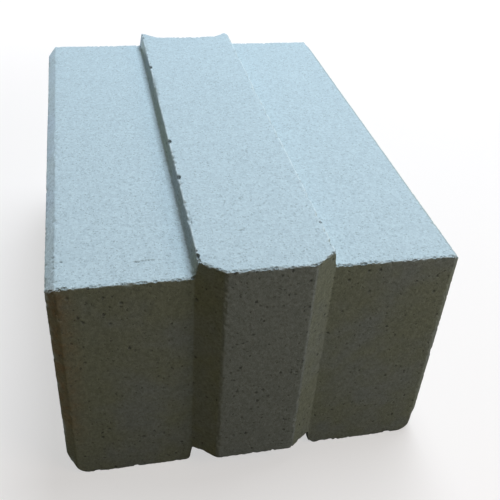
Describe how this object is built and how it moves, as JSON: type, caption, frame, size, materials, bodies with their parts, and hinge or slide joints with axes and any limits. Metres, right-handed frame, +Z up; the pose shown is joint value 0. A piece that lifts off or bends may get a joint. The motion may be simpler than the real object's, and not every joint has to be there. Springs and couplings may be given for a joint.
{
  "type": "interlocking concrete block",
  "caption": "Solid concrete wall block with a key along its top, a tongue on one end, matching grooves below and behind, and bevelled side faces, for dry interlocking masonry.",
  "frame": {"origin": "middle of the overall footprint at the level of the bed faces", "axes": "+X through the wall, +Y along the course from the tongue end to the grooved end, +Z up"},
  "size_m": [0.2, 0.29, 0.14],
  "materials": {
    "concrete": "matte fine-grained pressed concrete"
  },
  "bodies": {
    "root": {"block": "concrete"}
  },
  "joints": []
}
